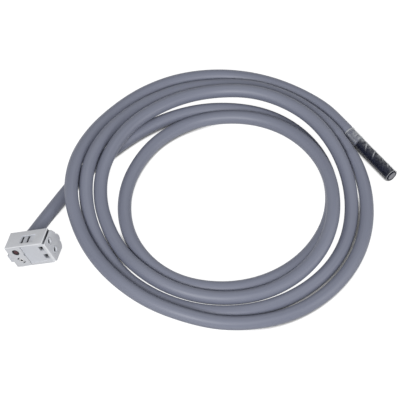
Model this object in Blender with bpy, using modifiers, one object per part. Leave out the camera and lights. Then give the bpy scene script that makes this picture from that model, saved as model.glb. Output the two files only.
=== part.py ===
"""NTC temperature sensor: a two-pole plug, a loosely coiled round lead and a probe under a shrink sleeve.

Metres, +Z up. The sensor lies on the floor as it does in the photograph, with the coil near the origin,
the plug at -X and the probe at +X.
"""

import bmesh
import bpy
import numpy as np
from math import cos, pi, radians, sin
from mathutils import Euler, Vector

MM = 0.001
FIT = 0.3 * MM            # clearance between neighbouring pieces
TIGHT = 0.15 * MM         # clearance between the small pieces of the probe and the contacts

# Plug. Its own axes: +X towards the mating nose, +Y towards the lead, +Z across the two poles.
PLUG_LENGTH = 19.6 * MM   # left end to the end of the nose
PLUG_THICK = 8.8 * MM
PLUG_WIDTH = 11.8 * MM
NOSE = 1.05 * MM          # how far the nose stands past the shell
NOSE_STEP = 0.8 * MM      # from the shell's top down to the nose's
POLE_INSET = 3.4 * MM     # from a side wall to the nearer pole, on average
PITCH = PLUG_WIDTH - 2 * POLE_INSET    # between the two poles: 5.0 mm
WALL = 1.1 * MM
COVER = 1.2 * MM          # thickness of the rear cover
CAVITY_END = 2.9 * MM     # +X end of the wiring space
BORE = 1.3 * MM           # radius of the contact chambers
PIN_HOLE = 0.85 * MM
POLE_Y = -0.6 * MM        # the poles' axis, from the middle of the thickness
POLE_Z = 0.4 * MM
ENTRY_CLEAR = 2.35 * MM   # from the left end to the side of the lead where it comes in
ENTRY_LEAN = (0.183, 0.973, -0.138)   # the lead's direction there
LEFT_ZONE = 7.6 * MM      # from the left end to the groove beside the front's panel
PEG_IN = 4.0 * MM         # from the left end to the coding peg
PEG_Z = 2.6 * MM
TEST_IN = 4.1 * MM        # from the left end to the white plug with the probing hole
TEST_Z = -2.25 * MM
WEB = 2.0 * MM            # between the two windows
LATCHES = ((-2.0 * MM, "left"), (0.85 * MM, "right"))
PLUG_AT = (-68.8, -30.6)  # mm, in the coil's frame below
PLUG_TURN = (-7.3, -28.3, -11.4)   # roll, lift of the nose, heading, in degrees

# Lead and coil.
LEAD = 5.8 * MM
CORE = 1.5 * MM
COIL_CENTRE = (8.0, -3.5)
ORIGIN = (1.65, -1.33)    # mm: middle of the plug and probe together, which becomes the part's origin

# Probe. Lengths run along it from the sleeve's start.
PROBE_START = (64.5, 33.1)
PROBE_HEADING = -52.5     # degrees
PROBE_DROP = -0.2         # degrees: it leans on the sleeve's wider end
PROBE_HEIGHT = 3.0 * MM
SLEEVE_LENGTH = 28.4 * MM
SLEEVE_WALL = 0.25 * MM
LEAD_IN_SLEEVE = 7.0 * MM
GRIPPED = 0.88            # the lead's thickness under the shrunk sleeve, as a share of its own
CAPSULE_R = 2.5 * MM
CAPSULE_WALL = 0.35 * MM
CAPSULE_FROM = 7.5 * MM
CAPSULE_TO = 28.9 * MM
POCKET = 0.65             # share of the resin's radius that the bead's pocket takes
BEAD_IN = 6.3 * MM        # from the capsule's tip to the middle of the bead

# Route of the coil, laid out by eye from the photograph: clock angle in degrees, clockwise from the left,
# then the radius and the lift of the lead's middle above a lead that lies flat, both in mm.
ROUTE = (
    (-12, 78.0, 3.6), (-4.5, 71.1, 1.6), (4, 65.4, 0.2), (8, 63.2, 0.0),
    (15, 60.0, 0.0), (22, 56.6, 0.0), (30, 53.4, 0.0), (38, 51.6, 0.0), (45, 50.6, 0.0), (60, 49.4, 0.0),
    (90, 49.3, 0.0), (120, 50.5, 0.0), (150, 49.8, 0.0), (180, 47.9, 0.0), (210, 45.3, 0.0),
    (240, 43.4, 0.0), (270, 42.4, 0.0), (300, 42.3, 0.0), (330, 41.2, 0.0), (360, 40.0, 0.0),
    (390, 40.0, 0.0), (420, 42.1, 0.0), (435, 42.9, 0.8), (450, 43.4, 1.9), (480, 45.4, 3.5),
    (510, 46.7, 5.5), (525, 47.4, 6.1), (540, 48.0, 6.2), (555, 48.9, 5.9), (570, 49.6, 4.4),
    (600, 49.3, 2.1), (630, 48.2, 1.8), (660, 47.8, 2.6), (675, 47.6, 2.3), (690, 47.5, 0.6),
    (705, 48.3, 0.8), (720, 50.0, 2.2), (735, 51.2, 4.6), (750, 51.5, 6.2), (765, 52.2, 6.1),
    (780, 53.2, 5.2), (795, 54.7, 4.4), (810, 56.0, 4.2), (825, 56.5, 5.6), (840, 56.5, 6.3),
    (855, 56.5, 6.1), (870, 56.0, 5.3), (885, 56.0, 3.0), (900, 56.1, 0.8), (930, 56.4, 0.0),
    (960, 55.2, 0.0), (990, 54.0, 0.0), (1020, 53.5, 0.3), (1035, 53.6, 0.2), (1050, 53.6, 0.1),
    (1065, 54.6, 1.0), (1080, 56.1, 3.8), (1095, 57.3, 6.0), (1110, 57.8, 5.6), (1125, 58.7, 3.6),
    (1140, 59.8, 2.1), (1155, 60.9, 1.3), (1170, 61.4, 1.1), (1185, 61.6, 2.2), (1200, 61.4, 2.7),
    (1215, 61.4, 2.6), (1230, 61.6, 2.1), (1245, 62.2, 0.8), (1260, 62.6, 0.1), (1290, 63.2, 0.0),
    (1320, 62.2, 0.2), (1335, 61.2, 1.2), (1350, 60.2, 2.4), (1365, 59.2, 4.0), (1380, 58.7, 4.3),
    (1395, 58.6, 4.4), (1410, 59.1, 3.8), (1425, 60.4, 4.3), (1440, 62.3, 6.3), (1455, 63.2, 6.4),
    (1470, 63.7, 4.2), (1485, 64.7, 1.6), (1500, 66.2, 0.5), (1515, 67.3, 0.1), (1530, 67.6, 0.0),
    (1545, 67.6, 0.0), (1560, 67.4, 0.1), (1575, 67.6, 0.3), (1583, 67.7, 0.5),
)
STEP = 20                 # degrees of clock angle between the tube's points in the coil

for leftover in list(bpy.data.objects):
    bpy.data.objects.remove(leftover)
part = bpy.data.collections.new("ntc_temperature_sensor")
cutters = bpy.data.collections.new("cutters")
cutters.hide_render = True
for collection in (part, cutters):
    bpy.context.scene.collection.children.link(collection)


def material(name, colour, roughness, metallic=0.0):
    new = bpy.data.materials.new(name)
    new.use_nodes = True
    shader = new.node_tree.nodes["Principled BSDF"]
    shader.inputs["Base Color"].default_value = (*colour, 1.0)
    shader.inputs["Roughness"].default_value = roughness
    shader.inputs["Metallic"].default_value = metallic
    new.diffuse_color = (*colour, 1.0)
    return new


MOULDED_GREY = material("moulded_light_grey", (0.60, 0.62, 0.66), 0.45)
SHEATH_GREY = material("sheath_grey", (0.21, 0.22, 0.27), 0.4)
CORE_BLUE = material("core_blue", (0.03, 0.08, 0.35), 0.45)
CORE_BROWN = material("core_brown", (0.16, 0.07, 0.03), 0.45)
PEG_RED = material("peg_dark_red", (0.13, 0.02, 0.03), 0.4)
PLUG_WHITE = material("plug_white", (0.85, 0.85, 0.87), 0.4)
TINNED = material("tinned_brass", (0.55, 0.50, 0.40), 0.3, 1.0)
STEEL = material("band_steel", (0.55, 0.55, 0.56), 0.35, 1.0)
SMOKY = material("smoky_sleeve", (0.07, 0.075, 0.08), 0.2)
CAPSULE_BLACK = material("capsule_black", (0.02, 0.022, 0.03), 0.35)
RESIN = material("potting_resin", (0.17, 0.17, 0.18), 0.6)
BEAD_GLASS = material("bead_coating", (0.05, 0.05, 0.04), 0.3)


def frame(name, location, rotation):
    empty = bpy.data.objects.new(name, None)
    empty.location = location
    empty.rotation_euler = rotation
    part.objects.link(empty)
    return empty


def add(name, mesh, parent, look=None):
    """A piece of the part, or a cutter if it has no look."""
    obj = bpy.data.objects.new(name, mesh)
    obj.parent = parent
    if look is None:
        obj.display_type = "WIRE"
        obj.hide_render = True
        cutters.objects.link(obj)
    else:
        mesh.materials.append(look)
        part.objects.link(obj)
    return obj


def box(name, low, high, parent, look=None, edge=0.0):
    """A box between two corners, with its edges rounded by edge."""
    bm = bmesh.new()
    bmesh.ops.create_cube(bm, size=1.0)
    size = Vector(high) - Vector(low)
    bmesh.ops.scale(bm, vec=size, verts=bm.verts)
    bmesh.ops.translate(bm, vec=(Vector(high) + Vector(low)) / 2, verts=bm.verts)
    if edge:
        bmesh.ops.bevel(bm, geom=bm.edges[:], offset=edge, segments=3, profile=0.5, affect="EDGES")
    mesh = bpy.data.meshes.new(name)
    bm.to_mesh(mesh)
    bm.free()
    return add(name, mesh, parent, look)


def turned(name, profile, parent, look=None, place=(0, 0, 0), along="Z", sides=40):
    """A profile of (radius, height) points, closed on itself, turned round an axis by Screw."""
    mesh = bpy.data.meshes.new(name)
    area = sum(a[0] * b[1] - b[0] * a[1] for a, b in zip(profile, (*profile[1:], profile[0])))
    # Faces look outwards only when the profile runs down its outer side.
    ordered = profile[::-1] if area > 0 else profile
    points = [(radius, 0.0, height) for radius, height in ordered]
    edges = [(i, (i + 1) % len(points)) for i in range(len(points))]
    if ordered[0][0] == 0 and ordered[-1][0] == 0:
        edges.pop()
    mesh.from_pydata(points, edges, [])
    obj = add(name, mesh, parent, look)
    obj.location = place
    if along == "X":
        obj.rotation_euler = (0.0, pi / 2, 0.0)
    if along == "Y":
        obj.rotation_euler = (-pi / 2, 0.0, 0.0)
    screw = obj.modifiers.new("turn", "SCREW")
    screw.steps = sides
    screw.render_steps = sides
    screw.use_merge_vertices = True
    screw.merge_threshold = 0.00001
    return obj


def prism(name, outline, start, end, parent, look=None, edge=0.0):
    """An outline of (y, z) points drawn out along X, with the end's edges rounded by edge."""
    bm = bmesh.new()
    face = bm.faces.new([bm.verts.new((start, y, z)) for y, z in outline])
    made = bmesh.ops.extrude_face_region(bm, geom=[face])
    moved = [v for v in made["geom"] if isinstance(v, bmesh.types.BMVert)]
    bmesh.ops.translate(bm, vec=(end - start, 0, 0), verts=moved)
    if edge:
        rim = [e for e in bm.edges if all(abs(v.co.x - end) < 0.001 * MM for v in e.verts)]
        bmesh.ops.bevel(bm, geom=rim, offset=edge, segments=2, profile=0.5, affect="EDGES")
    bmesh.ops.recalc_face_normals(bm, faces=bm.faces)
    mesh = bpy.data.meshes.new(name)
    bm.to_mesh(mesh)
    bm.free()
    return add(name, mesh, parent, look)


def tube(name, points, diameter, parent, look, resolution=3):
    curve = bpy.data.curves.new(name, "CURVE")
    curve.dimensions = "3D"
    curve.bevel_depth = diameter / 2
    curve.bevel_resolution = resolution
    curve.use_fill_caps = True
    spline = curve.splines.new("POLY")
    spline.points.add(len(points) - 1)
    for slot, point in zip(spline.points, points):
        slot.co = (*point, 1.0)
    return add(name, curve, parent, look)


def boolean(obj, other, operation="DIFFERENCE"):
    step = obj.modifiers.new(other.name, "BOOLEAN")
    step.operation = operation
    step.solver = "EXACT"
    step.object = other
    return step


def smooth(at, known, values):
    """Values at the given angles, on a curve without corners through the known ones."""
    known = np.asarray(known, float)
    values = np.asarray(values, float)
    slopes = np.gradient(values, known)
    i = np.clip(np.searchsorted(known, at, side="right") - 1, 0, len(known) - 2)
    span = known[i + 1] - known[i]
    t = (np.asarray(at) - known[i]) / span
    return ((1 + 2 * t) * (1 - t) ** 2 * values[i] + t * (1 - t) ** 2 * span * slopes[i]
            + t * t * (3 - 2 * t) * values[i + 1] + t * t * (t - 1) * span * slopes[i + 1])


# The plug stands on the lower edge of its left end, held up at the nose by the lead's own stiffness.
x0 = -PLUG_LENGTH / 2
x1 = PLUG_LENGTH / 2
xs = x1 - NOSE
y1 = PLUG_THICK / 2
z1 = PLUG_WIDTH / 2
entry_x = x0 + ENTRY_CLEAR + LEAD / 2
groove_x = x0 + LEFT_ZONE
pole_a = POLE_Z + PITCH / 2
pole_b = POLE_Z - PITCH / 2
turn = Euler([radians(a) for a in PLUG_TURN]).to_matrix()
lowest = min((turn @ Vector((x, y, z))).z for x in (x0, x1) for y in (-y1, y1) for z in (-z1, z1))
plug = frame("plug_frame", ((PLUG_AT[0] - ORIGIN[0]) * MM, (PLUG_AT[1] - ORIGIN[1]) * MM, -lowest),
             Euler([radians(a) for a in PLUG_TURN]))

# Housing: a moulded shell with the two contact barrels in its nose and the wiring space open to the rear.
housing = box("plug_housing", (x0, -y1, -z1), (xs, y1, z1), plug, MOULDED_GREY, edge=0.3 * MM)
top = z1 - NOSE_STEP
# The nose's back as (how far behind the shell, z): a shallow lobe by each pole.
lobes = [(-1.4 * MM, top), (-0.3 * MM, top - 0.5 * MM)]
lobes += [(out * MM, pole_a + up * MM) for out, up in ((0.3, 0.8), (0.8, -0.4), (1.0, -1.3))]
lobes += [(1.0 * MM, POLE_Z + 0.5 * MM), (1.55 * MM, POLE_Z)]
lobes += [(out * MM, pole_b + up * MM) for out, up in (
    (1.85, 1.8), (1.9, 1.1), (1.7, 0.3), (1.2, -0.4), (0.6, -0.8), (0.6, -1.4), (0.5, -2.0))]
lobes += [(-0.1 * MM, -z1 + 0.8 * MM), (-0.8 * MM, -z1 + 0.15 * MM)]
outline = [(-y1 + 0.8 * MM, -z1 + 0.1 * MM), (-y1 + 0.02 * MM, -z1 + 0.9 * MM), (-y1 + 0.02 * MM, top - 0.2 * MM),
           (-y1 + 0.3 * MM, top)] + [(y1 + out, z) for out, z in lobes]
nose = prism("nose_block", outline, xs - 1.5 * MM, x1, plug, edge=0.2 * MM)
boolean(housing, nose, "UNION")
gap = [(xs + 0.02 * MM, 3.6 * MM), (xs + 0.02 * MM, -3.9 * MM), (xs + 0.25 * MM, -3.8 * MM)]
gap += [(xs + (0.25 + 0.5 * sin(a)) * MM, -3.6 * MM * cos(a)) for a in np.linspace(0.2, 2.6, 9)]
bm = bmesh.new()
face = bm.faces.new([bm.verts.new((x, y, top - 1.3 * MM)) for x, y in gap])
made = bmesh.ops.extrude_face_region(bm, geom=[face])
bmesh.ops.translate(bm, vec=(0, 0, 3 * MM), verts=[v for v in made["geom"] if isinstance(v, bmesh.types.BMVert)])
bmesh.ops.recalc_face_normals(bm, faces=bm.faces)
mesh = bpy.data.meshes.new("crescent")
bm.to_mesh(mesh)
bm.free()
boolean(housing, add("crescent", mesh, plug))
key = box("end_key", (x0 - 1.3 * MM, -y1 + 0.3 * MM, -2.9 * MM), (x0 + MM, 0.6 * MM, 1.1 * MM), plug,
          edge=0.15 * MM)
boolean(housing, key, "UNION")
cavity = box("wiring_space", (x0 + WALL, -y1 + WALL, -z1 + WALL), (CAVITY_END, y1 + MM, z1 - WALL), plug)
boolean(housing, cavity)
rebate = box("cover_rebate", (x0 + 0.7 * MM, y1 - COVER - FIT, -z1 + 0.7 * MM),
             (CAVITY_END + 0.4 * MM, y1 + MM, z1 - 0.7 * MM), plug)
boolean(housing, rebate)
panel = box("front_panel", (groove_x + 0.3 * MM, -y1 - MM, -z1 + 1.4 * MM),
            (x1 - NOSE, -y1 + 0.2 * MM, z1 - 0.45 * MM), plug)
boolean(housing, panel)
groove = box("panel_groove", (groove_x - 0.15 * MM, -y1 - MM, -z1 + 0.9 * MM),
             (groove_x + 0.15 * MM, -y1 + 0.4 * MM, z1 - 0.45 * MM), plug)
boolean(housing, groove)
slit = box("panel_slit", (groove_x - 0.5 * MM, -y1 - MM, -0.3 * MM),
           (groove_x - 0.1 * MM, -y1 + WALL + MM, 1.4 * MM), plug)
boolean(housing, slit)
for side, name in ((1, "a"), (-1, "b")):
    pole = pole_a if side > 0 else pole_b
    chamber = turned("chamber_" + name, (
        (0, CAVITY_END - MM), (BORE, CAVITY_END - MM), (BORE, x1 - 1.4 * MM), (PIN_HOLE, x1 - 1.4 * MM),
        (PIN_HOLE, x1 - 0.4 * MM), (1.25 * MM, x1 + 0.05 * MM), (0, x1 + 0.05 * MM)), plug,
        place=(0, POLE_Y, pole), along="X")
    boolean(housing, chamber)
    inner = POLE_Z + side * WEB / 2
    outer = pole + side * 1.1 * MM
    window = box("window_" + name, (x1 - 3.8 * MM, -y1 - MM, min(inner, outer)),
                 (x1 - 1.8 * MM, POLE_Y, max(inner, outer)), plug)
    boolean(housing, window)
    recess = box("latch_recess_" + name, (-2.9 * MM, -2.6 * MM, z1 - 0.3 * MM if side > 0 else -z1 - MM),
                 (3.8 * MM, 1.7 * MM, z1 + MM if side > 0 else -z1 + 0.3 * MM), plug)
    boolean(housing, recess)
    for middle, tag in LATCHES:
        slot = box("latch_slot_" + name + tag,
                   (middle - 0.5 * MM, -2.3 * MM, z1 - 1.5 * MM if side > 0 else -z1 - MM),
                   (middle + 0.5 * MM, 1.4 * MM, z1 + MM if side > 0 else -z1 + 1.5 * MM), plug)
        boolean(housing, slot)

# Two round marks in the front face: the red coding peg's seat, and a white plug with two arcs round it.
seat = turned("peg_seat", ((0, -MM), (1.6 * MM, -MM), (1.6 * MM, 0.7 * MM), (0.9 * MM, 0.7 * MM),
                           (0.9 * MM, 2.0 * MM), (0, 2.0 * MM)), plug,
              place=(x0 + PEG_IN, -y1, PEG_Z), along="Y")
boolean(housing, seat)
test = turned("test_seat", ((0, -MM), (1.1 * MM, -MM), (1.1 * MM, 0.7 * MM), (0.45 * MM, 0.7 * MM),
                            (0.45 * MM, 2.0 * MM), (0, 2.0 * MM)), plug,
              place=(x0 + TEST_IN, -y1, TEST_Z), along="Y")
boolean(housing, test)
for middle, name in ((128, "upper"), (-57, "lower")):
    bm = bmesh.new()
    angles = [radians(middle + a) for a in range(-35, 36, 7)]
    ring = [(1.75 * MM * cos(a), 1.75 * MM * sin(a)) for a in angles]
    ring += [(1.35 * MM * cos(a), 1.35 * MM * sin(a)) for a in reversed(angles)]
    face = bm.faces.new([bm.verts.new((x0 + TEST_IN + x, -y1 - MM, TEST_Z + z)) for x, z in ring])
    made = bmesh.ops.extrude_face_region(bm, geom=[face])
    moved = [v for v in made["geom"] if isinstance(v, bmesh.types.BMVert)]
    bmesh.ops.translate(bm, vec=(0, MM + 0.5 * MM, 0), verts=moved)
    bmesh.ops.recalc_face_normals(bm, faces=bm.faces)
    mesh = bpy.data.meshes.new("arc_" + name)
    bm.to_mesh(mesh)
    bm.free()
    boolean(housing, add("arc_" + name, mesh, plug))
turned("test_plug", ((0.3 * MM, 0.15 * MM), (0.45 * MM, 0.0), (0.85 * MM, 0.0), (0.95 * MM, 0.1 * MM),
                     (0.95 * MM, 0.5 * MM), (0.3 * MM, 0.5 * MM)),
       plug, PLUG_WHITE, place=(x0 + TEST_IN, -y1, TEST_Z), along="Y")
turned("coding_peg", ((0, 0.05 * MM), (0.5 * MM, 0.15 * MM), (1.2 * MM, 0.0), (1.3 * MM, 0.15 * MM),
                      (1.3 * MM, 0.5 * MM), (0.6 * MM, 0.5 * MM), (0.6 * MM, 1.8 * MM), (0, 1.8 * MM)),
       plug, PEG_RED, place=(x0 + PEG_IN, -y1, PEG_Z), along="Y")

# Rear cover: a plate in the rebate, with the lead's entry and a sprung tongue each side that clicks into
# the slots of the housing.
cover = box("plug_cover", (x0 + 0.7 * MM + FIT, y1 - COVER, -z1 + 0.7 * MM + FIT),
            (CAVITY_END + 0.4 * MM - FIT, y1, z1 - 0.7 * MM - FIT), plug, MOULDED_GREY, edge=0.15 * MM)
for side, name in ((1, "a"), (-1, "b")):
    low = z1 - WALL - FIT - 0.6 * MM
    high = z1 - WALL - FIT
    tongue = box("tongue_" + name, (-2.7 * MM, -1.9 * MM, low if side > 0 else -high),
                 (1.5 * MM, y1 - COVER / 2, high if side > 0 else -low), plug)
    boolean(cover, tongue, "UNION")
    for middle, tag in LATCHES:
        tip = z1 - 0.9 * MM
        nub = box("nub_" + name + tag, (middle - 0.2 * MM, -1.6 * MM, (low + high) / 2 if side > 0 else -tip),
                  (middle + 0.2 * MM, 0.6 * MM, tip if side > 0 else -(low + high) / 2), plug)
        boolean(cover, nub, "UNION")
lean = Vector(ENTRY_LEAN).normalized()
entry = turned("lead_entry", ((0, -3 * MM), (LEAD / 2 + FIT, -3 * MM), (LEAD / 2 + FIT, 3 * MM), (0, 3 * MM)),
               plug, place=(entry_x, y1, 0))
entry.rotation_euler = lean.to_track_quat("Z", "Y").to_euler()
boolean(cover, entry)

# Contacts: turned sockets with a crimp at the rear, one in each chamber.
for side, name in ((1, "a"), (-1, "b")):
    pole = pole_a if side > 0 else pole_b
    front = x1 - 1.4 * MM - TIGHT
    turned("contact_" + name, (
        (0, 1.9 * MM), (0.95 * MM, 1.9 * MM), (0.95 * MM, 3.8 * MM), (0.6 * MM, 4.0 * MM), (0.6 * MM, 4.4 * MM),
        (0.98 * MM, 4.6 * MM), (0.98 * MM, front), (0.62 * MM, front), (0.62 * MM, 4.9 * MM), (0, 4.9 * MM)),
        plug, TINNED, place=(0, POLE_Y, pole), along="X", sides=32)
    out = side * 1.0 * MM
    start = Vector((entry_x, y1, out)) - lean * 3.9 * MM
    hop = (start, start - Vector((0, 1.1 * MM, 0)), start + Vector((0.45 * MM, -1.95 * MM, side * 0.2 * MM)),
           start + Vector((1.4 * MM, -2.35 * MM, side * 0.5 * MM)),
           (start.x + 2.8 * MM, -1.9 * MM, (start.z + pole) / 2), (-0.9 * MM, -1.1 * MM, pole * 0.9),
           (0.5 * MM, -0.65 * MM, pole), (1.7 * MM, POLE_Y, pole))
    tube("plug_core_" + name, hop, CORE, plug, CORE_BLUE if side > 0 else CORE_BROWN, 2)
clamp = turned("cable_clamp", ((LEAD / 2 + TIGHT, -3.3 * MM), (LEAD / 2 + 0.5 * MM, -3.3 * MM),
                               (LEAD / 2 + 0.5 * MM, -2.35 * MM), (LEAD / 2 + TIGHT, -2.35 * MM)),
               plug, STEEL, place=(entry_x, y1, 0))
clamp.rotation_euler = entry.rotation_euler

# Probe, in a frame whose +Z runs along it towards the tip.
heading = radians(PROBE_HEADING)
drop = radians(PROBE_DROP)
ahead = Vector((cos(heading) * cos(drop), sin(heading) * cos(drop), sin(drop)))
probe_at = Vector(((PROBE_START[0] - ORIGIN[0]) * MM, (PROBE_START[1] - ORIGIN[1]) * MM, PROBE_HEIGHT))
probe = frame("probe_frame", probe_at, ahead.to_track_quat("Z", "Y").to_euler())
wide = GRIPPED * LEAD / 2 + TIGHT
slim = CAPSULE_R + TIGHT
turned("shrink_sleeve", (
    (wide, 0), (wide + SLEEVE_WALL, 0), (wide + SLEEVE_WALL, LEAD_IN_SLEEVE + 0.3 * MM),
    (slim + SLEEVE_WALL, CAPSULE_FROM + MM), (slim + SLEEVE_WALL, SLEEVE_LENGTH), (slim, SLEEVE_LENGTH),
    (slim, CAPSULE_FROM + MM), (wide, LEAD_IN_SLEEVE + 0.2 * MM)), probe, SMOKY)
inside = CAPSULE_R - CAPSULE_WALL
turned("sensor_capsule", (
    (inside, CAPSULE_FROM), (CAPSULE_R, CAPSULE_FROM), (CAPSULE_R, CAPSULE_TO - 0.2 * MM),
    (CAPSULE_R - 0.2 * MM, CAPSULE_TO), (inside, CAPSULE_TO)), probe, CAPSULE_BLACK)
pocket = POCKET * (inside - TIGHT)
bead_at = CAPSULE_TO - BEAD_IN
turned("potting_plug", (
    (0, bead_at + 1.6 * MM), (pocket, bead_at + 1.6 * MM), (pocket, bead_at - 7.6 * MM),
    (inside - TIGHT, bead_at - 7.6 * MM), (inside - TIGHT, CAPSULE_TO - 0.2 * MM),
    (0, CAPSULE_TO - 0.2 * MM)), probe, RESIN)
bead = [((pocket - 0.2 * MM) * sin(a), bead_at - 1.5 * MM * cos(a)) for a in np.linspace(0, pi, 13)]
turned("thermistor_bead", [(0, bead[0][1])] + bead[1:-1] + [(0, bead[-1][1])], probe, BEAD_GLASS, sides=24)
spread = pocket * 7 / 13
thick = pocket * 9 / 26
for side, name in ((1, "a"), (-1, "b")):
    tube("thermistor_leg_" + name, ((side * (spread - 0.3 * MM), 0, bead_at - 1.7 * MM),
                                    (side * (spread - 0.2 * MM), 0, bead_at - 3.1 * MM),
                                    (side * (spread - 0.05 * MM), 0, bead_at - 5.0 * MM)), 0.3 * MM, probe, STEEL, 2)
    turned("splice_" + name, (
        (0, bead_at - 8.0 * MM), (thick - 0.1 * MM, bead_at - 8.0 * MM), (thick, bead_at - 7.8 * MM),
        (thick, bead_at - 5.4 * MM), (thick - 0.1 * MM, bead_at - 5.2 * MM), (0, bead_at - 5.2 * MM)),
        probe, TINNED, place=(side * spread, 0, 0), sides=20)
    tube("probe_core_" + name, ((side * 0.9 * MM, 0, LEAD_IN_SLEEVE + 0.2 * MM),
                                (side * 0.85 * MM, 0, LEAD_IN_SLEEVE + 2.0 * MM),
                                (side * 0.75 * MM, 0, bead_at - 10.6 * MM),
                                (side * 0.7 * MM, 0, bead_at - 8.2 * MM)),
         1.2 * MM, probe, CORE_BLUE if side > 0 else CORE_BROWN, 2)

# Lead: out of the plug, under the coil at the left, round the coil and into the sleeve.
known = [row[0] for row in ROUTE]
at = np.array([-12, -8, -4, 2, 10, 20, 30, 40] + list(range(60, 1580, STEP)))
radius = smooth(at, known, [row[1] for row in ROUTE])
lift = np.maximum(smooth(at, known, [row[2] for row in ROUTE]), 0.0)
clock = np.radians(at)
entry_at = turn @ Vector((entry_x, y1, 0)) + plug.location
route = [entry_at + turn @ lean * s * MM for s in (-3.5, 0, 2)]
for a, r, h in zip(clock, radius, lift):
    route.append(Vector(((COIL_CENTRE[0] - r * cos(a) - ORIGIN[0]) * MM,
                         (COIL_CENTRE[1] + r * sin(a) - ORIGIN[1]) * MM, LEAD / 2 + h * MM)))
route += [probe_at + ahead * s * MM for s in (-5, -0.35, 0.2)] + [probe_at + ahead * LEAD_IN_SLEEVE]
cable = tube("cable", route, LEAD, None, SHEATH_GREY, 3)
for point in cable.data.splines[0].points[-2:]:
    point.radius = GRIPPED

bpy.context.view_layer.update()
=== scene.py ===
"""NTC temperature sensor on a loosely coiled lead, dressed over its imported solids. Metres, +Z up."""

from math import cos, pi, radians, sin

import bmesh
import bpy
import numpy as np
from mathutils import Euler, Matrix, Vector


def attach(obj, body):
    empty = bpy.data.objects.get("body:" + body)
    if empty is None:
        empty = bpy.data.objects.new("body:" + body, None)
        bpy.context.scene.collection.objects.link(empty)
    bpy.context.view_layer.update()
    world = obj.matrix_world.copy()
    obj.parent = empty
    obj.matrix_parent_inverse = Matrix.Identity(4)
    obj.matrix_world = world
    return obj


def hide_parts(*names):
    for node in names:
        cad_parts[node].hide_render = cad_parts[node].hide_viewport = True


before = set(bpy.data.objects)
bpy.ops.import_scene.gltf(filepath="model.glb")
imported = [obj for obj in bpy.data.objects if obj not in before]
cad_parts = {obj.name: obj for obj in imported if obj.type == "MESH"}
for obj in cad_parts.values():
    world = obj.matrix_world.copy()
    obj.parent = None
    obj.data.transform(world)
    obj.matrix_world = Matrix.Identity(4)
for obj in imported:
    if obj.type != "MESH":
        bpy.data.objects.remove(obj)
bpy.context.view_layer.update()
scene = bpy.context.scene

# Camera. The photograph looks down at 56 degrees from straight in front, through a long lens, at a point
# close to the coil's middle.
ELEVATION = radians(56.0)
DISTANCE = 0.9
AIM = (-0.00165, 0.00133)                   # the point on the floor that it looks at
camera = bpy.data.objects.new("camera", bpy.data.cameras.new("camera"))
camera.data.sensor_width = 36.0
camera.data.lens = 190.4
camera.data.clip_end = 20.0
camera.location = (AIM[0], AIM[1] - DISTANCE * cos(ELEVATION), DISTANCE * sin(ELEVATION))
camera.rotation_euler = (pi / 2 - ELEVATION, 0.0, 0.0)
scene.collection.objects.link(camera)
scene.camera = camera


# Lead. One round sheath of grey PVC, 5.8 mm thick, extruded over its two cores and then wound by hand in
# nearly four and a half loose turns. The rows are the solid's own: clock angle in degrees, clockwise from
# the left, then the radius and the lift above the floor in mm. The plug and the probe set its two ends.
MM = 0.001
LEAD_R = 2.9
GRIPPED = 0.88                              # how far the shrunk sleeve squeezes it
COIL_CENTRE = np.array([6.35, -2.17])       # mm, in the part's frame
ROUTE = np.array((
    (-12, 78.0, 3.6), (-4.5, 71.1, 1.6), (4, 65.4, 0.2), (8, 63.2, 0.0),
    (15, 60.0, 0.0), (22, 56.6, 0.0), (30, 53.4, 0.0), (38, 51.6, 0.0), (45, 50.6, 0.0), (60, 49.4, 0.0),
    (90, 49.3, 0.0), (120, 50.5, 0.0), (150, 49.8, 0.0), (180, 47.9, 0.0), (210, 45.3, 0.0),
    (240, 43.4, 0.0), (270, 42.4, 0.0), (300, 42.3, 0.0), (330, 41.2, 0.0), (360, 40.0, 0.0),
    (390, 40.0, 0.0), (420, 42.1, 0.0), (435, 42.9, 0.8), (450, 43.4, 1.9), (480, 45.4, 3.5),
    (510, 46.7, 5.5), (525, 47.4, 6.1), (540, 48.0, 6.2), (555, 48.9, 5.9), (570, 49.6, 4.4),
    (600, 49.3, 2.1), (630, 48.2, 1.8), (660, 47.8, 2.6), (675, 47.6, 2.3), (690, 47.5, 0.6),
    (705, 48.3, 0.8), (720, 50.0, 2.2), (735, 51.2, 4.6), (750, 51.5, 6.2), (765, 52.2, 6.1),
    (780, 53.2, 5.2), (795, 54.7, 4.4), (810, 56.0, 4.2), (825, 56.5, 5.6), (840, 56.5, 6.3),
    (855, 56.5, 6.1), (870, 56.0, 5.3), (885, 56.0, 3.0), (900, 56.1, 0.8), (930, 56.4, 0.0),
    (960, 55.2, 0.0), (990, 54.0, 0.0), (1020, 53.5, 0.3), (1035, 53.6, 0.2), (1050, 53.6, 0.1),
    (1065, 54.6, 1.0), (1080, 56.1, 3.8), (1095, 57.3, 6.0), (1110, 57.8, 5.6), (1125, 58.7, 3.6),
    (1140, 59.8, 2.1), (1155, 60.9, 1.3), (1170, 61.4, 1.1), (1185, 61.6, 2.2), (1200, 61.4, 2.7),
    (1215, 61.4, 2.6), (1230, 61.6, 2.1), (1245, 62.2, 0.8), (1260, 62.6, 0.1), (1290, 63.2, 0.0),
    (1320, 62.2, 0.2), (1335, 61.2, 1.2), (1350, 60.2, 2.4), (1365, 59.2, 4.0), (1380, 58.7, 4.3),
    (1395, 58.6, 4.4), (1410, 59.1, 3.8), (1425, 60.4, 4.3), (1440, 62.3, 6.3), (1455, 63.2, 6.4),
    (1470, 63.7, 4.2), (1485, 64.7, 1.6), (1500, 66.2, 0.5), (1515, 67.3, 0.1), (1530, 67.6, 0.0),
    (1545, 67.6, 0.0), (1560, 67.4, 0.1), (1575, 67.6, 0.3),
))
PLUG_HALF = (9.8, 4.4, 5.9)                 # mm: half the plug's length, thickness and width
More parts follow.
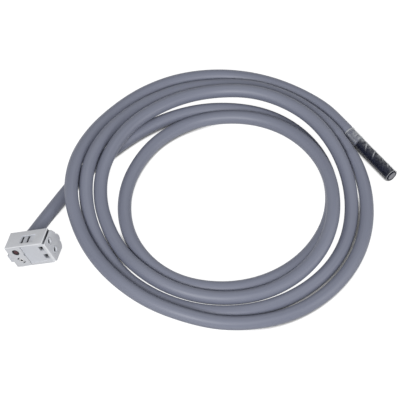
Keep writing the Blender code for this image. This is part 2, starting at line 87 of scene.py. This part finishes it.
ENTRY = (-4.55, 4.4, 0.0)                   # mm on the plug's own axes: where the lead comes in
ENTRY_LEAN = (0.183, 0.973, -0.138)         # the lead's direction there
PLUG_TURN = (-7.3, -28.3, -11.4)            # degrees: roll, lift of the nose, heading
PLUG_XY = (-70.45, -29.27)
plug_turn = Euler([radians(a) for a in PLUG_TURN]).to_matrix()
# The plug's middle is as high as its lowest corner lies under it, so that corner stands on the floor.
plug_at = np.array([*PLUG_XY, max(
    abs(sum(plug_turn[2][i] * PLUG_HALF[i] * s[i] for i in range(3)))
    for s in ((1, 1, 1), (1, 1, -1), (1, -1, 1), (1, -1, -1)))])
entry_at = np.array(plug_turn @ Vector(ENTRY)) + plug_at
entry_lean = np.array(plug_turn @ Vector(ENTRY_LEAN).normalized())
PROBE_AT = np.array([62.85, 34.43, 3.0])    # mm: where the sleeve starts
HEADING, DROP = radians(-52.5), radians(-0.2)
ahead = np.array([cos(HEADING) * cos(DROP), sin(HEADING) * cos(DROP), sin(DROP)])


def linear(hexcode):
    """An sRGB colour such as 7E808D as the linear values that a shader takes."""
    s = np.array([int(hexcode[i:i + 2], 16) for i in (0, 2, 4)]) / 255
    return (*np.where(s <= 0.04045, s / 12.92, ((s + 0.055) / 1.055) ** 2.4), 1.0)


def add_node(material, kind, links=(), settings=(), **inputs):
    """A shader node with its settings, its input values, and links as (input, source node, output)."""
    node = material.node_tree.nodes.new(kind)
    for name, value in dict(settings).items():
        setattr(node, name, value)
    for name, value in inputs.items():
        node.inputs[name.replace("_", " ")].default_value = value
    for name, source, output in links:
        material.node_tree.links.new(source.outputs[output], node.inputs[name])
    return node


def surface(name, hexcode, roughness, **inputs):
    """A material with one Principled shader, and that shader."""
    material = bpy.data.materials.new(name)
    material.use_nodes = True
    shader = material.node_tree.nodes["Principled BSDF"]
    shader.inputs["Base Color"].default_value = linear(hexcode)
    shader.inputs["Roughness"].default_value = roughness
    for key, value in inputs.items():
        shader.inputs[key.replace("_", " ")].default_value = value
    return material, shader


def tinted(material, shader, source, output, stops):
    """The shader's colour from a value, through stops of (value, colour)."""
    ramp = add_node(material, "ShaderNodeValToRGB", [("Fac", source, output)])
    for element, (position, hexcode) in zip(ramp.color_ramp.elements, stops):
        element.position = position
        element.color = linear(hexcode)
    material.node_tree.links.new(ramp.outputs["Color"], shader.inputs["Base Color"])


def grained(material, shader, grain_mm, strength, depth_mm):
    """A fine raised grain of the given size, on the object's own coordinates. Real grain is under 0.1 mm and
    a pixel is 0.43 mm, so it is drawn at 0.5 to 0.9 mm, as coarse as it needs to show."""
    place = add_node(material, "ShaderNodeTexCoord")
    grain = add_node(material, "ShaderNodeTexNoise", [("Vector", place, "Object")],
                     Scale=1000 / grain_mm, Detail=2.0)
    relief = add_node(material, "ShaderNodeBump", [("Height", grain, "Fac")],
                      Strength=strength, Distance=depth_mm * MM)
    material.node_tree.links.new(relief.outputs["Normal"], shader.inputs["Normal"])


def smooth(at, known, values):
    """Values at the given angles, on a curve without corners through the known ones: between two of them a
    cubic (Hermite) blend of both values and both slopes."""
    slopes = np.gradient(values, known)
    i = np.clip(np.searchsorted(known, at, side="right") - 1, 0, len(known) - 2)
    span = known[i + 1] - known[i]
    t = (at - known[i]) / span
    return ((1 + 2 * t) * (1 - t) ** 2 * values[i] + t * (1 - t) ** 2 * span * slopes[i]
            + t * t * (3 - 2 * t) * values[i + 1] + t * t * (t - 1) * span * slopes[i + 1])


def resampled(points, step):
    """The same line with its points a step apart, and how far along each one is."""
    gone = np.concatenate([[0], np.cumsum(np.linalg.norm(np.diff(points, axis=0), axis=1))])
    at = np.linspace(0, gone[-1], int(gone[-1] / step) + 1)
    return np.stack([np.interp(at, gone, points[:, k]) for k in range(3)], axis=1), at


def spokes(points, sides):
    """Unit directions round a line at each point, the first one straight down: cos(turn) of the level side
    direction and sin(turn) of the one square to it and to the line."""
    forward = np.gradient(points, axis=0)
    forward /= np.linalg.norm(forward, axis=1)[:, None]
    side = np.cross(forward, (0.0, 0.0, 1.0))
    side /= np.linalg.norm(side, axis=1)[:, None]
    up = np.cross(side, forward)
    turn = (-pi / 2 - np.linspace(0, 2 * pi, sides, endpoint=False))[None, :, None]
    return side[:, None] * np.cos(turn) + up[:, None] * np.sin(turn)


def skin(name, rings, material, u, looped=False):
    """A mesh through rings of points (rings, points, xyz) in mm. Its UV map runs u along, 0 to 1 round."""
    rows, sides = rings.shape[:2]
    index = np.arange(rows * sides).reshape(rows, sides)
    a = index if looped else index[:-1]
    b = np.roll(index, -1, axis=0) if looped else index[1:]
    quads = np.stack([a, np.roll(a, -1, axis=1), np.roll(b, -1, axis=1), b], axis=2).reshape(-1, 4)
    faces = quads.tolist()
    if not looped:
        faces += [index[0, ::-1].tolist(), index[-1].tolist()]
    mesh = bpy.data.meshes.new(name)
    mesh.from_pydata((rings.reshape(-1, 3) * MM).tolist(), [], faces)
    mesh.polygons.foreach_set("use_smooth", [len(face) == 4 for face in faces])
    uv = mesh.uv_layers.new(name="run")
    per_corner = np.zeros((len(mesh.loops), 2))
    first = np.stack([np.repeat(u[:len(a)], sides), np.tile(np.arange(sides) / sides, len(a))], axis=1)
    corners = np.repeat(first[:, None, :], 4, axis=1)
    corners[:, 1:3, 1] += 1 / sides
    corners[:, 2:4, 0] += (np.roll(u, -1) - u)[:len(a)].repeat(sides)[:, None]
    per_corner[:len(quads) * 4] = corners.reshape(-1, 2)
    if not looped:
        per_corner[len(quads) * 4:, 0] = np.repeat([u[0], u[-1]], sides)
    uv.data.foreach_set("uv", per_corner.ravel())
    mesh.materials.append(material)
    mesh.update()
    piece = bpy.data.objects.new(name, mesh)
    scene.collection.objects.link(piece)
    return piece


# Sheath material: plasticised PVC, drawn through a die, so it has a soft satin gloss and faint streaks
# that run along it, one tone lighter and darker than its blue-grey. Real die lines are too fine to show, so
# the streaks are drawn 50 mm long and 2 mm wide (u is in mm, v is 1 all the way round).
sheath, shader = surface("pvc_sheath_grey", "7F8394", 0.47)
run = add_node(sheath, "ShaderNodeUVMap", settings={"uv_map": "run"})
drawn = add_node(sheath, "ShaderNodeMapping", [("Vector", run, "UV")], Scale=(0.02, 9.0, 1.0))
streaks = add_node(sheath, "ShaderNodeTexNoise", [("Vector", drawn, "Vector")], Scale=1.0, Detail=3.0)
tinted(sheath, shader, streaks, "Fac", ((0.3, "7B7F90"), (0.7, "858999")))
grained(sheath, shader, 0.8, 0.10, 0.03)

clock = np.arange(-12.0, 1575.1, 1.0)
ring = smooth(clock, ROUTE[:, 0], ROUTE[:, 1])
lift = np.maximum(smooth(clock, ROUTE[:, 0], ROUTE[:, 2]), 0.0)
coil = np.stack([COIL_CENTRE[0] - ring * np.cos(np.radians(clock)),
                 COIL_CENTRE[1] + ring * np.sin(np.radians(clock)), LEAD_R + lift], axis=1)
line = np.concatenate([[entry_at + entry_lean * s for s in (-3.5, 0.0, 2.0)], coil,
                       [PROBE_AT + ahead * s for s in (-5.0, 0.0, 7.0)]])
line, _ = resampled(line, 0.5)
# The corners between the rows are eased by a bell-shaped mean. Sigma is 6 points, which is 3 mm, and it is
# cut at 18 points. Past each end the line goes on as its own image, turned about that end.
SIGMA, REACH = 6.0, 18
kernel = np.exp(-0.5 * (np.arange(-REACH, REACH + 1) / SIGMA) ** 2)
padded = np.concatenate([2 * line[0] - line[REACH:0:-1], line, 2 * line[-1] - line[-2:-REACH - 2:-1]])
line = np.stack([np.convolve(padded[:, k], kernel / kernel.sum(), "valid") for k in range(3)], axis=1)
LEAD_STEP, LEAD_SIDES = 1.4, 28             # mm between the tube's rings, and points round it
line, along = resampled(line, LEAD_STEP)
into_sleeve = (line - PROBE_AT) @ ahead
near_probe = np.linalg.norm(line - PROBE_AT, axis=1) < 12.0
# The sleeve's grip starts 0.9 mm before its rim and is full 0.8 mm further on.
squeeze = np.where(near_probe, np.clip((into_sleeve + 0.9) / 0.8, 0.0, 1.0), 0.0)
girth = LEAD_R * (1.0 - (1.0 - GRIPPED) * squeeze)
lead = skin("lead", line[:, None] + girth[:, None, None] * spokes(line, LEAD_SIDES), sheath, along)
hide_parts("cable")
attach(lead, "root")


# Plug shell. The housing is moulded in light grey polyamide, with the poles in its nose, and the rear
# cover clicks into it. The mould's fine spark grain dulls the gloss; the deep openings get painted shade.
def welded(node, name, look, edge_mm=0.0):
    """A copy of a node's mesh without loose triangles, shaded smooth, which replaces the node."""
    bm = bmesh.new()
    bm.from_mesh(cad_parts[node].data)
    bmesh.ops.remove_doubles(bm, verts=bm.verts, dist=0.002 * MM)
    bmesh.ops.dissolve_limit(bm, angle_limit=radians(0.5), verts=bm.verts, edges=bm.edges)
    mesh = bpy.data.meshes.new(name)
    bm.to_mesh(mesh)
    bm.free()
    mesh.polygons.foreach_set("use_smooth", [True] * len(mesh.polygons))
    mesh.set_sharp_from_angle(angle=radians(32))
    mesh.materials.append(look)
    piece = bpy.data.objects.new(name, mesh)
    scene.collection.objects.link(piece)
    if edge_mm:
        rounding = piece.modifiers.new("rounded_edges", "BEVEL")
        rounding.width = edge_mm * MM
        rounding.segments = 2
        rounding.limit_method = "ANGLE"
        rounding.angle_limit = radians(40)
        rounding.harden_normals = True
    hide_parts(node)
    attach(piece, "root")
    return piece


# Places on the plug, in mm on its own axes from its middle.
PEG_SEAT = (-5.8, 2.6, 1.7)                 # x, z and radius of the red peg's seat
TEST_SEAT = (-5.7, -2.25, 1.8)              # and of the white plug's, with its arcs
CRESCENT = (8.7, 3.6)                       # the gap by the nose lies past this x and z
LATCH_SLOTS = (-0.6, 2.2, 4.2)              # their middle x and half length, and how far out they start
SHELL_END, NOSE_FROM = 8.75, 8.77           # where the shell ends, and past what x a point is the nose's
# Depth in mm that counts as 1 for the painted shade, and how far the painted edge highlight reaches.
DEEP_UNIT = 4.0
EDGE_REACH = 0.22


def marked(piece):
    """The attributes of painted light: "painted_shade_depth", painted shade, how far in units of DEEP_UNIT
    a point lies inside the nearest of the front, the sides and the nose's end, and "edge_highlight", a
    painted highlight, 1 where a second outer face is within EDGE_REACH as well."""
    points = np.empty(len(piece.data.vertices) * 3)
    piece.data.vertices.foreach_get("co", points)
    x, y, z = ((points.reshape(-1, 3) / MM - plug_at) @ np.array(plug_turn)).T
    inside = np.minimum.reduce([y + PLUG_HALF[1], PLUG_HALF[2] - np.abs(z), PLUG_HALF[0] - x])
    # The round seats, the crescent by the nose and the latch slots are narrow, so they count as deeper and
    # get more painted shade.
    seats = ((np.hypot(x - PEG_SEAT[0], z - PEG_SEAT[1]) < PEG_SEAT[2])
             | (np.hypot(x - TEST_SEAT[0], z - TEST_SEAT[1]) < TEST_SEAT[2]))
    crescent = (x > CRESCENT[0]) & (z > CRESCENT[1])
    slots = (np.abs(z) > LATCH_SLOTS[2]) & (np.abs(x - LATCH_SLOTS[0]) < LATCH_SLOTS[1])
    narrow_shade_gain = np.select([seats, crescent, slots], [6.0, 2.2, 1.7], 1.0)
    layer = piece.data.attributes.new("painted_shade_depth", "FLOAT", "POINT")
    layer.data.foreach_set("value", np.clip(inside * narrow_shade_gain / DEEP_UNIT, 0.0, 1.0))
    end = np.where(x > NOSE_FROM, PLUG_HALF[0] - x, np.abs(SHELL_END - x))
    near = np.sort(np.abs(np.stack([y + PLUG_HALF[1], PLUG_HALF[2] - z, z + PLUG_HALF[2],
                                    x + PLUG_HALF[0], end], axis=1)), axis=1)
    layer = piece.data.attributes.new("edge_highlight", "FLOAT", "POINT")
    layer.data.foreach_set("value", (near[:, 1] < EDGE_REACH).astype(float))


# Housing material: moulded polyamide, an even pale grey with a broad soft sheen. Its openings get painted
# shade, darker with depth, where little light would come back out, and its rounded edges get a painted
# highlight, a lighter line.
moulded, shader = surface("moulded_polyamide_grey", "D2D4D8", 0.38)
painted_shade_depth = add_node(moulded, "ShaderNodeAttribute", settings={"attribute_name": "painted_shade_depth"})
shade = add_node(moulded, "ShaderNodeValToRGB", [("Fac", painted_shade_depth, "Fac")])
shade.color_ramp.elements.new(0.5)
# Painted shade: the openings go from the pale grey to near black with depth.
for element, (position, hexcode) in zip(shade.color_ramp.elements, (
        (0.0, "D5D7DC"), (0.075, "D0D3DA"), (0.42, "222328"))):
    element.position = position
    element.color = linear(hexcode)
edge_highlight = add_node(moulded, "ShaderNodeAttribute", settings={"attribute_name": "edge_highlight"})
# Painted highlight: a lighter line along the rounded edges.
painted_highlight_mix = add_node(moulded, "ShaderNodeMix", settings={"data_type": "RGBA"})
painted_highlight_mix.inputs["B"].default_value = linear("ECEEF2")
moulded.node_tree.links.new(edge_highlight.outputs["Fac"], painted_highlight_mix.inputs["Factor"])
moulded.node_tree.links.new(shade.outputs["Color"], painted_highlight_mix.inputs["A"])
moulded.node_tree.links.new(painted_highlight_mix.outputs["Result"], shader.inputs["Base Color"])
grained(moulded, shader, 0.7, 0.10, 0.03)
housing = welded("plug_housing", "moulded_housing", moulded, edge_mm=0.10)
marked(housing)
cover = welded("plug_cover", "moulded_rear_cover", moulded)
marked(cover)

# Hole collars. A low round collar stands about each contact hole of the nose. It is moulded in one with the
# housing, in the same grey polyamide, and has no solid of its own.
ROUND = 72                                  # points round a turned piece


def turned(name, profile, foot, axis, look, looped=False):
    """A profile of (radius, height) turned round an axis: foot + axis * height + radius * spoke, in mm."""
    radius, height = np.array(profile).T[:, :, None, None]
    spoke = spokes(foot + np.outer((0.0, 1.0), axis), ROUND)[:1]
    piece = skin(name, foot + axis * height + radius * spoke, look, np.array(profile)[:, 1], looped)
    piece.data.set_sharp_from_angle(angle=radians(32))
    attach(piece, "root")
    return piece


nose_axis = np.array(plug_turn @ Vector((1.0, 0.0, 0.0)))
POLE_Y, POLES = -0.6, ((2.9, "a"), (-2.1, "b"))     # mm on the plug's own axes: y, and z of each hole
COLLAR = ((1.3, -0.3), (1.7, -0.3), (1.7, 0.02), (1.5, 0.2), (1.36, 0.2), (1.3, 0.14))
COLLAR_PAINTED_SHADE = (0.2, 0.28, 0.24, 0.0, 0.0, 0.2)      # the painted shade at each point of that profile
for z, tag in POLES:
    foot = plug_at + np.array(plug_turn @ Vector((PLUG_HALF[0], POLE_Y, z)))
    collar = turned("hole_collar_" + tag, COLLAR, foot, nose_axis, moulded, looped=True)
    # Painted shade on the collar's outer wall and inner lip, through the housing material's ramp.
    crease_and_painted_light = collar.data.attributes.new("painted_shade_depth", "FLOAT", "POINT")
    crease_and_painted_light.data.foreach_set("value", np.repeat(COLLAR_PAINTED_SHADE, ROUND))

# Round marks in the front. A dark red coding peg with a dished head is pressed into its seat, and a small
# white plug with a probing hole sits between its two moulded arcs. Both are moulded polyamide with a low
# sheen. A point's depth in mm, which is u on their UV map, gives its colour with painted shade: the peg is
# dark red in its dish and has a near black painted shadow at its rim, and the plug is white outside and
# painted black, as shade, in its hole and down its sides.
front_axis = np.array(plug_turn @ Vector((0.0, 1.0, 0.0)))
PEG = ((0.30, 0.42), (0.70, 0.38), (0.95, 0.24), (1.12, 0.06), (1.22, 0.02), (1.3, 0.1), (1.3, 0.5),
       (0.6, 0.5), (0.6, 1.8))
TEST = ((0.60, 0.45), (0.60, 0.12), (0.66, 0.0), (0.87, 0.0), (0.95, 0.1), (0.95, 0.5))
red, shader = surface("moulded_polyamide_red", "3A1019", 0.45)
dish = add_node(red, "ShaderNodeUVMap", settings={"uv_map": "run"})
shade_depth_mm = add_node(red, "ShaderNodeSeparateXYZ", [("Vector", dish, "UV")])
# Painted shadow: near black at the peg's rim.
tinted(red, shader, shade_depth_mm, "X", ((0.16, "0A0506"), (0.40, "481A24")))
grained(red, shader, 0.6, 0.15, 0.03)
white, shader = surface("moulded_polyamide_white", "F4F4F6", 0.40)
hole = add_node(white, "ShaderNodeUVMap", settings={"uv_map": "run"})
shade_depth_mm = add_node(white, "ShaderNodeSeparateXYZ", [("Vector", hole, "UV")])
# Painted shade: black in the plug's hole and down its sides.
tinted(white, shader, shade_depth_mm, "X", ((0.10, "F8F8FA"), (0.16, "08080A")))
grained(white, shader, 0.6, 0.08, 0.03)
# Each with its place in mm: along from the plug's left end, and across from its middle.
for name, profile, x, z, look, node, slot in (
        ("red_coding_peg", PEG, 4.0, 2.6, red, "coding_peg", "peg_dark_red"),
        ("white_test_plug", TEST, 4.1, -2.25, white, "test_plug", "plug_white")):
    foot = plug_at + np.array(plug_turn @ Vector((x - PLUG_HALF[0], -PLUG_HALF[1], z)))
    mark = turned(name, profile, foot, front_axis, look)
    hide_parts(node)

# Contacts and cores. Two turned brass sockets, tin-plated, each crimped on a core, and a steel ring that
# is crimped round the sheath's end behind the cover. Tin gives a warm dull mirror and rolled steel a cooler
# brighter one, and the cores' extruded PVC is a plain strong colour with a soft gloss.
tin, shader = surface("tin_plated_brass", "8F897C", 0.32, Metallic=1.0)
grained(tin, shader, 0.5, 0.15, 0.02)
steel, shader = surface("rolled_steel", "B9B9BB", 0.35, Metallic=1.0)
grained(steel, shader, 0.5, 0.15, 0.02)
blue, shader = surface("extruded_pvc_blue", "2F4F9E", 0.40)
grained(blue, shader, 0.6, 0.08, 0.02)
brown, shader = surface("extruded_pvc_brown", "6E4A30", 0.40)
grained(brown, shader, 0.6, 0.08, 0.02)
for node, name, look, slot in (
        ("contact_a", "socket_a", tin, "tinned_brass"), ("contact_b", "socket_b", tin, "tinned_brass"),
        ("cable_clamp", "crimped_ring", steel, "band_steel"),
        ("plug_core_a", "plug_core_blue", blue, "core_blue"),
        ("plug_core_b", "plug_core_brown", brown, "core_brown")):
    welded(node, name, look)

# Shrink sleeve. A thin clear tube of smoky polyolefin, shrunk over the lead's end and the capsule: it is
# cut square, turns up a little at its rim, and has a few pale diagonal creases and one long fold with a
# painted highlight along it.
SLEEVE_LENGTH = 28.4
SLEEVE_R = 2.95
SLEEVE_WALL = 0.25
# Each crease runs from one point to another, as mm along and degrees round, twice.
CREASES = ((9.0, 158.0, 13.0, 42.0), (14.7, 158.0, 17.8, 38.0), (3.4, 155.0, 4.6, 75.0),
           (19.6, 150.0, 21.6, 96.0), (23.4, 155.0, 25.2, 84.0))
FOLD_ANGLE = 49.0                           # degrees round the tube, from level on its left
SLEEVE_RINGS, SLEEVE_SIDES = 190, 84
DRAWN_IN = 7.3                              # mm along: here the lead ends and the sleeve draws in
HAZE_END = 7.4                              # and to here it is hazy from its grip on the lead
u = np.linspace(0.0, SLEEVE_LENGTH, SLEEVE_RINGS)
angle = 270.0 - np.linspace(0.0, 360.0, SLEEVE_SIDES, endpoint=False)
U, V = np.meshgrid(u, angle, indexing="ij")
pale = np.zeros_like(U)
for u0, v0, u1, v1 in CREASES:
    # Distance in mm from a line drawn on the flattened tube, faded out at both of its ends.
    du, dv = u1 - u0, (v1 - v0) * pi / 180 * SLEEVE_R
    pu, pv = U - u0, (V - v0) * pi / 180 * SLEEVE_R
    t = (pu * du + pv * dv) / (du * du + dv * dv)
    off = np.hypot(pu - t * du + 0.35 * t * (1 - t) * 4 - 0.35, pv - t * dv)
    pale = np.maximum(pale, np.exp(-(off / 0.24) ** 2) * np.clip(np.minimum(12 * t, 3 * (1 - t)), 0, 1))
# The fold: a very low ridge, with a painted highlight line along it.
fold_and_highlight = (np.exp(-((V - FOLD_ANGLE) * pi / 180 * SLEEVE_R / 0.5) ** 2)
        * np.clip(np.minimum(U - 0.8, 7.5 - U), 0, 1))
rim = np.exp(-(U / 0.36) ** 2)
mouth = np.exp(-((U - SLEEVE_LENGTH) / 0.25) ** 2)
pale = np.clip(np.maximum.reduce([0.7 * pale, 0.3 * fold_and_highlight, 0.8 * rim, 0.8 * mouth]), 0.0, 1.0)
# The upper side gets a painted sheen, strongest where the capsule starts, and the rub marks lie in it.
upper_sheen = np.exp(-((V - 118.0) / np.where(V > 118.0, 30.0, 42.0)) ** 2)
rubs_and_painted_sheen = upper_sheen * (0.7 + 0.4 * np.exp(-((U - 7.5) / 4.0) ** 2)) + 0.45 * np.clip(HAZE_END - U, 0.0, 1.0)
# Radius = SLEEVE_R, less a waist of 0.09 mm where it draws in and 0.05 mm past it, plus the raised creases
# and the turned-up rim. The inside is a wall's thickness less.
waist = 0.09 * np.exp(-((U - DRAWN_IN) / 0.7) ** 2) + 0.05 * np.clip(U - DRAWN_IN, 0.0, 1.0)
outer = SLEEVE_R - waist + 0.06 * pale + 0.05 * rim
centres = PROBE_AT + ahead * u[:, None]
directions = spokes(centres, SLEEVE_SIDES)
outside = centres[:, None] + outer[:, :, None] * directions
inner = SLEEVE_R - SLEEVE_WALL - 0.05 * np.clip(U - DRAWN_IN, 0, 1)
within = centres[:, None] + inner[:, :, None] * directions
# Sleeve material: shrunk polyolefin, a thin glossy smoky film that lets the lead and the capsule show. Its
# creases and rub marks are milky, and its upper side gets a painted sheen. Real rub marks are too fine to
# show, so they are drawn about 1 mm long.
smoky, shader = surface("shrink_polyolefin_smoky", "6E7478", 0.22)
crease_and_painted_light = add_node(smoky, "ShaderNodeAttribute", settings={"attribute_name": "pale"})
rub_sheen_attribute = add_node(smoky, "ShaderNodeAttribute", settings={"attribute_name": "rubs_and_painted_sheen"})
run = add_node(smoky, "ShaderNodeUVMap", settings={"uv_map": "run"})
rubbed = add_node(smoky, "ShaderNodeMapping", [("Vector", run, "UV")], Scale=(0.9, 14.0, 1.0))
marks = add_node(smoky, "ShaderNodeTexNoise", [("Vector", rubbed, "Vector")], Scale=1.0, Detail=4.0)
spread = add_node(smoky, "ShaderNodeMapRange", [("Value", marks, "Fac")], From_Min=0.32, From_Max=0.84,
                  To_Min=0.12, To_Max=0.95)
# Rub marks, laid over the painted sheen and the grip's haze.
rub_haze_and_sheen = add_node(smoky, "ShaderNodeMath", [(0, rub_sheen_attribute, "Fac"), (1, spread, "Result")],
                settings={"operation": "MULTIPLY"})
milky_and_sheen = add_node(smoky, "ShaderNodeMath", [(0, rub_haze_and_sheen, "Value"), (1, crease_and_painted_light, "Fac")],
                   settings={"operation": "ADD"})
tinted(smoky, shader, milky_and_sheen, "Value", ((0.0, "4A4E5C"), (0.6, "CDD0D4")))
cloud = add_node(smoky, "ShaderNodeMapRange", [("Value", milky_and_sheen, "Value")], To_Min=0.05, To_Max=0.60)
smoky.node_tree.links.new(cloud.outputs["Result"], shader.inputs["Alpha"])
sleeve = skin("shrunk_sleeve", np.concatenate([outside, within[::-1]]), smoky,
              np.concatenate([u, u[::-1]]), looped=True)
for attribute, values in (("pale", pale), ("rubs_and_painted_sheen", rubs_and_painted_sheen)):
    layer = sleeve.data.attributes.new(attribute, "FLOAT", "POINT")
    layer.data.foreach_set("value", np.concatenate([values, values[::-1]]).ravel())
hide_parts("shrink_sleeve")
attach(sleeve, "root")

# Capsule. A drawn tube in black plastic, filled with grey resin that sets flat just inside its tip. The
# bead, its two wires and their crimps sit in the resin's pocket. The tube gives a tight dark gloss with
# faint blue-black clouds, drawn 2.2 mm across (450 to the metre) because real ones are too fine to show. The
# cast resin is dull and grainy, and the bead's dipped epoxy dark and shiny.
black, shader = surface("drawn_plastic_black", "14161F", 0.35, Specular_IOR_Level=0.15)
place = add_node(black, "ShaderNodeTexCoord")
marks = add_node(black, "ShaderNodeTexNoise", [("Vector", place, "Object")], Scale=450.0, Detail=4.0)
tinted(black, shader, marks, "Fac", ((0.35, "0F1220"), (0.75, "22263A")))
capsule = turned("black_capsule", ((2.15, 7.5), (2.5, 7.5), (2.5, 28.65), (2.44, 28.83), (2.3, 28.9),
                                   (2.22, 28.88), (2.15, 28.8)), PROBE_AT, ahead, black, looped=True)
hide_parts("sensor_capsule")
resin, shader = surface("cast_resin_grey", "8A8B92", 0.50)
grained(resin, shader, 0.9, 0.25, 0.05)
coating, shader = surface("dipped_epoxy_dark", "3F3F38", 0.25)
grained(coating, shader, 0.6, 0.08, 0.02)
for node, name, look, slot in (
        ("potting_plug", "resin_fill", resin, "potting_resin"),
        ("thermistor_bead", "dipped_bead", coating, "bead_coating"),
        ("thermistor_leg_a", "bead_wire_a", steel, "band_steel"),
        ("thermistor_leg_b", "bead_wire_b", steel, "band_steel"),
        ("splice_a", "crimp_a", tin, "tinned_brass"), ("splice_b", "crimp_b", tin, "tinned_brass"),
        ("probe_core_a", "probe_core_blue", blue, "core_blue"),
        ("probe_core_b", "probe_core_brown", brown, "core_brown")):
    welded(node, name, look)

# Floor and light. A pale sheet that the camera and the gloss see as white paper, a large soft lamp in
# front and a little to the left, a smaller one at the right, a weak one behind, and an even white surround.
floor_mesh = bpy.data.meshes.new("floor")
floor_mesh.from_pydata([(-3, -3, 0), (3, -3, 0), (3, 3, 0), (-3, 3, 0)], [], [(0, 1, 2, 3)])
floor = bpy.data.objects.new("floor", floor_mesh)
scene.collection.objects.link(floor)
paper, shader = surface("paper_floor", "747476", 0.9)
shade = add_node(paper, "ShaderNodeAmbientOcclusion", settings={"samples": 16}, Distance=0.003)
# The glow fades where less than half of the air within 3 mm is open, so a contact keeps a faint shadow.
open_sky = add_node(paper, "ShaderNodeMapRange", [("Value", shade, "AO")], From_Min=0.28, From_Max=0.50)
seen = add_node(paper, "ShaderNodeLightPath")
direct = add_node(paper, "ShaderNodeMath", [(0, seen, "Is Camera Ray"), (1, seen, "Is Glossy Ray")],
                  settings={"operation": "MAXIMUM"})
through = add_node(paper, "ShaderNodeMath", [(0, direct, "Value"), (1, seen, "Is Transmission Ray")],
                   settings={"operation": "MAXIMUM"})
lifted = add_node(paper, "ShaderNodeMath", [(0, through, "Value"), (1, open_sky, "Result")],
                  settings={"operation": "MULTIPLY"})
glow = add_node(paper, "ShaderNodeEmission", [("Strength", lifted, "Value")], Color=linear("FCFCFC"))
both = add_node(paper, "ShaderNodeAddShader", [(0, shader, "BSDF"), (1, glow, "Emission")])
paper.node_tree.links.new(both.outputs["Shader"], paper.node_tree.nodes["Material Output"].inputs["Surface"])
floor_mesh.materials.append(paper)


def lamp(name, place, size, power):
    """A round soft lamp that points at the middle of the part: place and size in metres, power in watts."""
    light = bpy.data.lights.new(name, "AREA")
    light.shape = "DISK"
    light.size = size
    light.energy = power
    obj = bpy.data.objects.new(name, light)
    obj.location = place
    obj.rotation_euler = Vector(place).to_track_quat("Z", "Y").to_euler()
    scene.collection.objects.link(obj)


lamp("key", (-0.3, -1.0, 1.0), 0.6, 13.0)
lamp("back", (0.5, 1.0, 0.6), 0.7, 0.3)
lamp("side", (1.1, -0.4, 0.5), 0.5, 2.8)
world = bpy.data.worlds.new("studio")
world.use_nodes = True
world.node_tree.nodes["Background"].inputs["Color"].default_value = (1.0, 1.0, 1.0, 1.0)
world.node_tree.nodes["Background"].inputs["Strength"].default_value = 0.37
scene.world = world
scene.view_settings.view_transform = "Standard"
